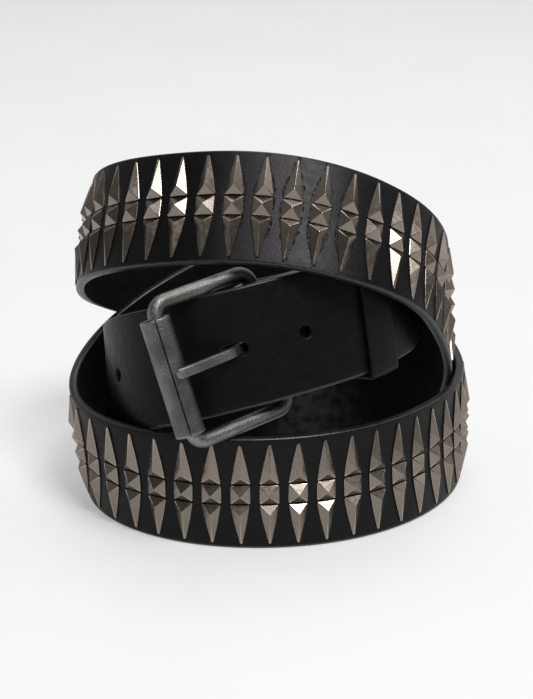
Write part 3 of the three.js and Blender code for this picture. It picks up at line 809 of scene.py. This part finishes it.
def stud_shape(corners, peak):
    """Points (x along, y across, z out) and faces of a stud, with each face's share of polish wear and
    painted highlight.

    Rings from below: the outline sunk into the leather, the wall's top, a narrow rounded rim, half way up,
    and a small flat peak. A ring is peak + share x (outline - peak), so all the facets are flat.
    """
    outline, band = cut_corners(corners, RIDGE_BAND)
    peak = np.asarray(peak, float)
    rise = STUD_PEAK - STUD_WALL
    levels = [(1.0, -0.5), (1.0, STUD_WALL), (0.965, STUD_WALL + 0.05 * rise), (0.5, STUD_WALL + 0.52 * rise),
              (0.02, STUD_PEAK)]
    points = np.concatenate([np.column_stack([peak + (outline - peak) * share, np.full(len(outline), z)])
                             for share, z in levels])
    quads = grid_quads(len(levels), len(outline))
    caps = np.stack([np.arange(len(outline))[::-1], np.arange(len(points) - len(outline), len(points))])
    # ridge strips, the rim and the peak brighten the metal: partly polish wear, partly painted highlight
    wear_and_highlight = np.where(np.tile(band, len(levels) - 1), 0.75, 0.2)
    wear_and_highlight[: len(outline)] = 0.0
    wear_and_highlight[len(outline): 2 * len(outline)] = 0.4
    return points, quads, caps, np.concatenate([wear_and_highlight, [0.0, 1.0]])


half = SQUARE_SIDE / 2
base = half + STUD_GAP
tip = base + DAGGER_LENGTH
belly = base + DAGGER_LENGTH * 0.42
square = stud_shape([(-half, -half, 1), (half, -half, 1), (half, half, 1), (-half, half, 1)], (0, 0))
dagger_corners = [(-half, base, 1), (half, base, 1), (half * 0.68, belly, 0), (DAGGER_TIP / 2, tip - 0.5, 0),
                  (0, tip + 0.1, 1), (-DAGGER_TIP / 2, tip - 0.5, 0), (-half * 0.68, belly, 0)]
dagger = stud_shape(dagger_corners, (0, base + DAGGER_LENGTH * DAGGER_PEAK_SHARE))
print("faces in a square stud:", len(square[1]) + 2, " in a dagger:", len(dagger[1]) + 2)


# %% All 252 studs on the strap
def set_studs(shape, turn):
    """One stud shape at every column, turned end for end where turn is -1, and set with small errors."""
    points, quads, caps, wear_and_highlight = shape
    places = FIRST_COLUMN + COLUMN_PITCH * np.arange(COLUMN_COUNT)
    centre, along, across, out = frames_at(places)
    angle = np.radians(rng.uniform(-1.6, 1.6, COLUMN_COUNT))[:, None]
    tip_x, tip_y = rng.uniform(-0.02, 0.02, (2, COLUMN_COUNT, 1))
    x, y, z = points[:, 0] * turn, points[:, 1] * turn, points[:, 2]
    middle = y.mean()
    x, y = (x * np.cos(angle) - (y - middle) * np.sin(angle),
            (y - middle) * np.cos(angle) + x * np.sin(angle) + middle)
    z = LEATHER / 2 + z + np.where(z > 0, tip_x * x + tip_y * (y - middle), 0)
    world = (centre[:, None] + along[:, None] * x[..., None] + across[:, None] * y[..., None]
             + out[:, None] * z[..., None])
    offset = np.arange(COLUMN_COUNT)[:, None, None] * len(points)
    all_quads = (quads[None] + offset).reshape(-1, 4)
    all_caps = (caps[None] + offset).reshape(-1, caps.shape[1])
    wear_and_highlight = np.tile(wear_and_highlight, COLUMN_COUNT).reshape(COLUMN_COUNT, -1)
    return world.reshape(-1, 3), all_quads, all_caps, wear_and_highlight[:, :-2].ravel(), wear_and_highlight[:, -2:].ravel()


stud_sets = [set_studs(square, 1), set_studs(dagger, 1), set_studs(dagger, -1)]

# %% Strap and studs as one piece
# where the painted sheen with its creases is centred, in mm past the bar
SHEEN_CREASE_AT = 706.0
SHEEN_CREASE_HALF = 30.0
# where the painted pool of light on the flesh side is centred, in mm past the bar
LIT_PATCH_AT = 876.0
LIT_PATCH_HALF = 24.0
leather_faces = [face_quads, hole_quads, start_cap, start_corners, end_cap, end_corners]
column = face_quads[:, 0] % COLUMNS
on_inner = (column >= FACE_COLUMNS + EDGE_COLUMNS - 1) & (column < 2 * FACE_COLUMNS + EDGE_COLUMNS)
on_edge = (column >= FACE_COLUMNS) & ~on_inner
face_material = [np.where(on_edge, DYED_EDGE, np.where(on_inner, FLESH_SIDE, GRAIN_SIDE)), hole_finish]
face_material += [np.full(len(part), DYED_EDGE) for part in leather_faces[2:]]
all_faces, all_points, count = list(leather_faces), [grid_points], len(grid_points)
face_wear_and_highlight = [np.zeros(len(part)) for part in leather_faces]
for points, quads, caps, wear_and_highlight, cap_wear_and_highlight in stud_sets:
    all_faces += [quads + count, caps + count]
    face_wear_and_highlight += [wear_and_highlight, cap_wear_and_highlight]
    face_material += [np.full(len(quads) + len(caps), STUD_SIDE)]
    all_points.append(points)
    count += len(points)
face_material = np.concatenate(face_material)
places = np.zeros(count)
places[: len(strap_points)] = np.repeat(place_of_length(row_lengths), COLUMNS)
across_strap = np.zeros(count)
across_strap[: len(strap_points)] = section_v.ravel()
strap_uv = np.column_stack([places, across_strap]) * MM
# masks of the painted sheen with its creases and of the painted pool of light on the flesh side
marks = {"sheen_and_creases": 1 - smooth_step(abs(places - SHEEN_CREASE_AT) / SHEEN_CREASE_HALF),
         "painted_lit_patch": 1 - smooth_step(abs(places - LIT_PATCH_AT) / LIT_PATCH_HALF)}
strap = add_piece("strap_and_studs", np.concatenate(all_points), all_faces,
                  [grain_leather, edge_leather, suede, stud_metal], ["strap"], face_material,
                  uv=strap_uv, values=marks, face_values={"wear_and_highlight": np.concatenate(face_wear_and_highlight)})
strap.data.polygons.foreach_set("use_smooth", face_material != STUD_SIDE)


# %% [markdown]
# The buckle's wire
# The frame is one round wire bent to a rounded rectangle and closed under the roller. A torus can't be
# stretched to that without thinning, so a circle is carried along the path, round arcs at its corners.

# %% Buckle frame
def rounded_rectangle(x0, x1, y0, y1, radius, per_corner=12, per_side=6):
    """Points and outward normals of a rounded rectangle, counter-clockwise from the right side's foot."""
    centres = [(x1 - radius, y1 - radius), (x0 + radius, y1 - radius), (x0 + radius, y0 + radius),
               (x1 - radius, y0 + radius)]
    points, normals = [], []
    for k, centre in enumerate(centres):
        angle = np.pi / 2 * (k + np.linspace(0, 1, per_corner + 1))
        normal = np.column_stack([np.cos(angle), np.sin(angle)])
        arc = np.asarray(centre) + normal * radius
        following = np.asarray(centres[(k + 1) % 4]) + normal[-1] * radius
        side = arc[-1] + (following - arc[-1]) * np.linspace(0, 1, per_side + 1)[1:-1, None]
        points += [arc, side]
        normals += [normal, np.repeat(normal[-1:], len(side), 0)]
    return np.concatenate(points), np.concatenate(normals)


path, outward = rounded_rectangle(-FRAME_LENGTH, 0, -FRAME_HALF_HEIGHT, FRAME_HALF_HEIGHT, FRAME_CORNER,
                                  per_side=14)
around = np.linspace(0, 2 * np.pi, 28, endpoint=False)
flat_x = path[:, None, 0] + outward[:, None, 0] * np.cos(around) * WIRE / 2
flat_y = path[:, None, 1] + outward[:, None, 1] * np.cos(around) * WIRE / 2
flat_z = np.sin(around) * WIRE / 2 + 0 * flat_x
wire_points = buckle_point(flat_x, flat_y, flat_z)
# painted highlight: a brighter stripe along the wire's outer front side, all the way round
wire_painted_highlight = 0.15 + 0.35 * np.clip(np.cos(around) * 0.7 + np.sin(around) * 0.7, 0, 1) ** 2 + 0 * flat_x
path_run = np.append(0, np.cumsum(np.linalg.norm(np.diff(path, axis=0), axis=1)))
wire_uv = np.stack([around * WIRE / 2 + 0 * flat_x, path_run[:, None] + 0 * flat_x], -1).reshape(-1, 2) * MM
add_piece("buckle_wire", wire_points, [grid_quads(len(path), len(around), closed_rows=True)], [buckle_metal],
          ["buckle_frame"], uv=wire_uv, values={"wear_and_highlight": wire_painted_highlight})


# %% [markdown]
# The roller
# The roller is sheet rolled into a sleeve whose long edges don't quite meet. A cylinder would miss that
# seam, so its section is an open ring: outer arc, rounded lip, inner arc, rounded lip. It is carried along
# the roller, whose ends are rounded by shrinking the wall. The seam faces the viewer.

# %% Roller
SEAM_GAP = 0.35
ARC_POINTS = 56
LIP_POINTS = 5
HIGHLIGHT_RIM = 0.6


def seam_direction():
    """Angle in the roller's section that points at the camera, so that the seam shows."""
    to_camera = unit(CAMERA_PLACE - roller_middle)
    x_axis = buckle_point(1, 0, 0)[0] - buckle_point(0, 0, 0)[0]
    z_axis = buckle_point(0, 0, 1)[0] - buckle_point(0, 0, 0)[0]
    return np.arctan2(to_camera @ z_axis, to_camera @ x_axis)


def roller_section(wall):
    """Closed section of the sleeve: radii and angles, with the wall's thickness shrunk to wall."""
    middle = (ROLLER_DIAMETER - ROLLER_WALL) / 2
    gap = SEAM_GAP / ROLLER_DIAMETER * 2
    lip = np.radians(np.linspace(0, 180, LIP_POINTS + 2))[1:-1]
    sweep = np.linspace(gap, 2 * np.pi - gap, ARC_POINTS)
    outer = np.column_stack([np.full(ARC_POINTS, middle + wall / 2), sweep])
    end_lip = np.column_stack([middle + np.cos(lip) * wall / 2, 2 * np.pi - gap + np.sin(lip) * gap * 0.6])
    inner = np.column_stack([np.full(ARC_POINTS, middle - wall / 2), sweep[::-1]])
    start_lip = np.column_stack([middle - np.cos(lip) * wall / 2, gap - np.sin(lip) * gap * 0.6])
    return np.concatenate([outer, end_lip, inner, start_lip])


end_round = np.array([(0.0, 0.6), (0.06, 0.8), (0.14, 0.93), (0.3, 1.0)])
heights = np.concatenate([end_round[:, 0], np.linspace(1.2, ROLLER_LENGTH - 1.2, 24),
                          ROLLER_LENGTH - end_round[::-1, 0]]) - ROLLER_LENGTH / 2
walls = np.concatenate([end_round[:, 1], np.ones(24), end_round[::-1, 1]]) * ROLLER_WALL
profile = np.stack([roller_section(wall) for wall in walls])
turn = profile[..., 1] + seam_direction()
roller_points = buckle_point(-FRAME_LENGTH - ROLLER_HANG + profile[..., 0] * np.cos(turn),
                             heights[:, None] - ROLLER_HANG + 0 * turn, profile[..., 0] * np.sin(turn))
ring_size = profile.shape[1]
roller_faces = [grid_quads(len(heights), ring_size)]
# painted highlight: both ends of the roller are made brighter
at_rim = np.abs(heights) > ROLLER_LENGTH / 2 - HIGHLIGHT_RIM
roller_painted_highlight = np.repeat(np.where(at_rim, 0.6, 0.2)[:, None], ring_size, 1)


def sleeve_caps(start):
    """Quads between the outer and inner arcs across an end, and the two lips as polygons."""
    k = np.arange(ARC_POINTS - 1)
    behind = 2 * ARC_POINTS + LIP_POINTS - 1
    strip = np.stack([k, k + 1, behind - k - 1, behind - k], -1) + start
    end_lip = np.arange(ARC_POINTS - 1, ARC_POINTS + LIP_POINTS + 1)
    start_lip = np.append(np.arange(behind, ring_size), 0)
    return [strip, np.stack([end_lip, start_lip]) + start]


roller_faces += sleeve_caps(0) + sleeve_caps((len(heights) - 1) * ring_size)
roller_uv = np.stack([turn * ROLLER_DIAMETER / 2, heights[:, None] + 0 * turn], -1).reshape(-1, 2) * MM
add_piece("roller_sleeve", roller_points, roller_faces, [buckle_metal], ["roller"],
          uv=roller_uv, values={"wear_and_highlight": roller_painted_highlight})


# %% [markdown]
# The tongue
# A tongue is flat bar: one end is bent round the frame's bar, the other runs through the hole and ends
# round on the roller. A rounded rectangle is carried along the side view of its middle line and narrows
# as a half circle at its end. The eye is a ring of the same bar round the wire.

# %% Tongue
TONGUE_THICKNESS = 2.4
TONGUE_BEND = 3.0
TONGUE_BEND_BEFORE = 3.4
TONGUE_BEND_AFTER = 3.6
TONGUE_DIP = 0.5
EYE_HALF = TONGUE_THICKNESS * 0.4


def tongue_point(x, y, z):
    """Point of the tongue, in the bar's frame and level with the hole."""
    return placed(bar_frame, x, np.asarray(y, float) + TONGUE_LIFT, np.asarray(z, float) + BAR_OUT)


def bar_section(half_wide, half_thick, corner, count=5):
    """Rounded rectangle as points (across, thickness), with its corners as arcs."""
    angle = np.radians(np.linspace(0, 90, count))
    parts = []
    for k, (sx, sy) in enumerate([(1, 1), (-1, 1), (-1, -1), (1, -1)]):
        a = angle + k * np.pi / 2
        parts.append(np.column_stack([sx * (half_wide - corner) + np.cos(a) * corner,
                                      sy * (half_thick - corner) + np.sin(a) * corner]))
    return np.concatenate(parts)


def catmull(points, count):
    """Catmull-Rom spline through side-view points: position and direction at count even steps."""
    points = np.asarray(points, float)
    padded = np.concatenate([points[:1], points, points[-1:]])
    u = np.linspace(0, len(points) - 1, count)
    first = np.minimum(u.astype(int), len(points) - 2)
    f = (u - first)[:, None]
    a, b, c, d = (padded[first + k] for k in range(4))
    here = 0.5 * (2 * b + (c - a) * f + (2 * a - 5 * b + 4 * c - d) * f**2 + (3 * b - a - 3 * c + d) * f**3)
    return here, unit(np.gradient(here, axis=0))


hole_out = float(tip_offset(LOOP - PIN_BEFORE_BAR)) - BAR_OUT
roller_out = BAR_OUT + (FRAME_LENGTH + ROLLER_HANG) * tilt_sin
rest_out = roller_out - BAR_OUT + ROLLER_DIAMETER / 2 + RUNNING_GAP + TONGUE_THICKNESS / 2
eye_radius = WIRE / 2 + RUNNING_GAP + EYE_HALF
side_view = [(-eye_radius, 0), (-PIN_BEFORE_BAR + TONGUE_BEND_BEFORE, hole_out - TONGUE_BEND),
             (-PIN_BEFORE_BAR, hole_out), (-PIN_BEFORE_BAR - TONGUE_BEND_AFTER, hole_out + TONGUE_BEND),
             (roller_along + ROLLER_DIAMETER / 2, rest_out - TONGUE_DIP), (roller_along, rest_out)]
middle_xz, slope = catmull(side_view, 70)
run = np.append(0, np.cumsum(np.linalg.norm(np.diff(middle_xz, axis=0), axis=1)))
to_tip = run[-1] - run
narrow = np.sqrt(np.clip(1 - (1 - np.clip(to_tip / (TONGUE_WIDTH / 2), 0, 1)) ** 2, 0.02, 1))
thin = np.sqrt(np.clip(1 - (1 - np.clip(to_tip / 0.9, 0, 1)) ** 2 * 0.75, 0.02, 1))
unit_section = bar_section(TONGUE_WIDTH / 2, TONGUE_THICKNESS / 2, 0.55)
across_part = unit_section[None, :, 0] * narrow[:, None]
thick_part = unit_section[None, :, 1] * thin[:, None]
prong = tongue_point(middle_xz[:, None, 0] - slope[:, None, 1] * thick_part, across_part,
                     middle_xz[:, None, 1] + slope[:, None, 0] * thick_part)
sides = unit_section.shape[0]
prong_caps = np.stack([np.arange(sides), np.arange(sides) + (len(run) - 1) * sides])
turn = np.linspace(0, 2 * np.pi, 40, endpoint=False)
eye_section = bar_section(TONGUE_WIDTH / 2, EYE_HALF, 0.5)
eye_reach = eye_radius + eye_section[None, :, 1]
eye = tongue_point(np.cos(turn)[:, None] * eye_reach, eye_section[None, :, 0] + 0 * eye_reach,
                   np.sin(turn)[:, None] * eye_reach)
eye_quads = grid_quads(len(turn), sides, start=len(run) * sides, closed_rows=True)
# painted highlight: the tongue brightens towards its tip
tongue_painted_highlight = np.concatenate([np.repeat(0.3 + 0.7 * np.exp(-to_tip / 1.5), sides),
                              np.full(len(turn) * sides, 0.3)])
around_bar = np.cumsum(np.linalg.norm(unit_section - np.roll(unit_section, 1, 0), axis=1))
tongue_uv = np.concatenate([np.column_stack([np.tile(around_bar, len(run)), np.repeat(run, sides)]),
                            np.column_stack([np.tile(around_bar, len(turn)), np.repeat(turn, sides)])]) * MM
add_piece("tongue_bar", np.concatenate([prong.reshape(-1, 3), eye.reshape(-1, 3)]),
          [grid_quads(len(run), sides), prong_caps[:1, ::-1], prong_caps[1:], eye_quads], [buckle_metal],
          ["tongue"], uv=tongue_uv, values={"wear_and_highlight": tongue_painted_highlight})


# %% [markdown]
# The keeper
# The keeper is a strip of thinner leather closed to a loop round both layers. A straight band would cut
# the bent strap, so its path lies in the strap's section and its width follows the strap's curve.

# %% Keeper
KEEPER_AT = 35.0
KEEPER_SLANT = 0.1
KEEPER_WIDTH = 11.0
KEEPER_LEATHER = 1.6
KEEPER_PLAY = 0.5
KEEPER_EDGE = 0.45

keeper_y = BELT_WIDTH / 2 + KEEPER_PLAY + KEEPER_LEATHER / 2
keeper_z = LAYER + LEATHER / 2 + KEEPER_PLAY + KEEPER_LEATHER / 2
loop, loop_normal = rounded_rectangle(-keeper_y, keeper_y, -keeper_z, keeper_z, KEEPER_LEATHER / 2 + 0.05,
                                      per_corner=6, per_side=12)
thick = KEEPER_LEATHER / 2
strip = bar_section(KEEPER_WIDTH / 2, thick, KEEPER_EDGE)
steps = np.linspace(-1, 1, 9)[1:-1] * (KEEPER_WIDTH / 2 - KEEPER_EDGE)
strip = np.concatenate([strip[:5], np.column_stack([steps[::-1], np.full(len(steps), thick)]), strip[5:15],
                        np.column_stack([steps, np.full(len(steps), -thick)]), strip[15:]])
keeper_x = np.repeat(strip[None, :, 0], len(loop), 0)
keeper_across = loop[:, None, 0] + loop_normal[:, None, 0] * strip[None, :, 1]
keeper_deep = loop[:, None, 1] + loop_normal[:, None, 1] * strip[None, :, 1]
keeper_frames = frames_at(KEEPER_AT + (keeper_x + KEEPER_SLANT * keeper_across).ravel())
keeper_points = placed(keeper_frames, 0, keeper_across.ravel(), keeper_deep.ravel())
keeper_quads = grid_quads(len(loop), len(strip), closed_rows=True)
add_piece("keeper_loop", keeper_points, [keeper_quads], [grain_leather], ["keeper"])

# %% [markdown]
# The rivets
# Two rivets close the fold. A turned profile could draw them again, but they lie behind the strap and
# hardly show, so the CAD model's own shapes stay and only get the buckle's metal.

# %% Rivets from the frame
for name in ("fold_rivet_1", "fold_rivet_2"):
    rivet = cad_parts[name]
    rivet.data.materials.clear()
    rivet.data.materials.append(buckle_metal)

# %% [markdown]
# Floor and light
# The belt stands on a white sheet. A soft light from above, in front and to the right brightens the studs'
# facets and throws a soft grey shadow to the left. A sun would do that too, but with hard edges. Two weak
# lights and a pale world fill the rest.

# %% Floor
FLOOR_HALF = 6.0
FLOOR_POINTS = 9

floor_mesh = bpy.data.meshes.new("floor")
side = np.linspace(-FLOOR_HALF, FLOOR_HALF, FLOOR_POINTS)
grid_x, grid_y = np.meshgrid(side, side)
floor_points = np.column_stack([grid_x.ravel(), grid_y.ravel(), np.zeros(grid_x.size)])
floor_quads = grid_quads(FLOOR_POINTS, FLOOR_POINTS, closed_columns=False)
floor_mesh.from_pydata(floor_points.tolist(), [], floor_quads.tolist())
floor_material, tree, skin = new_material("white sheet")
tone = use(tree, CLOUDS, Per_m=6.0)
sheet = mix_colour(tree, tone, colour(0.54, 0.54, 0.54), colour(0.56, 0.56, 0.56))
fill(tree, skin, {"Base Color": sheet, "Roughness": 0.9, "Specular IOR Level": 0.0,
                  "Emission Color": colour(1.0, 1.0, 1.0), "Emission Strength": 0.34})
floor_mesh.materials.append(floor_material)
floor = into_scene("floor", floor_mesh)


# %% Lights
def add_light(name, place, target, size, watts):
    """Square area light at a place in metres, aimed at a target."""
    data = bpy.data.lights.new(name, "AREA")
    data.size = size
    data.energy = watts
    light = into_scene(name, data)
    light.location = place
    light.rotation_euler = (Vector(target) - Vector(place)).to_track_quat("-Z", "Y").to_euler()


add_light("key", (0.6, -0.92, 1.905), (0, 0, 0.05), 0.75, 35)
add_light("right", (2.1, 0.7, 1.8), (0, 0, 0.05), 1.2, 5)
add_light("overhead", (0.1, 0.9, 1.8), (0, 0.4, 0), 0.9, 9)


def make_room():
    """World that is dim in front of the belt and pale behind it, by the y of the direction."""
    world = bpy.data.worlds.new("pale room")
    world.use_nodes = True
    tree = world.node_tree
    direction = node(tree, "ShaderNodeTexCoord").outputs["Generated"]
    y = node(tree, "ShaderNodeSeparateXYZ", {"Vector": direction}).outputs["Y"]
    fill(tree, tree.nodes["Background"], {"Strength": ramp(tree, y, -0.5, 0.5, 0.12, 0.45),
                                          "Color": colour(1.0, 1.0, 1.0)})
    return world


bpy.context.scene.world = make_room()
bpy.context.scene.view_settings.view_transform = "Standard"
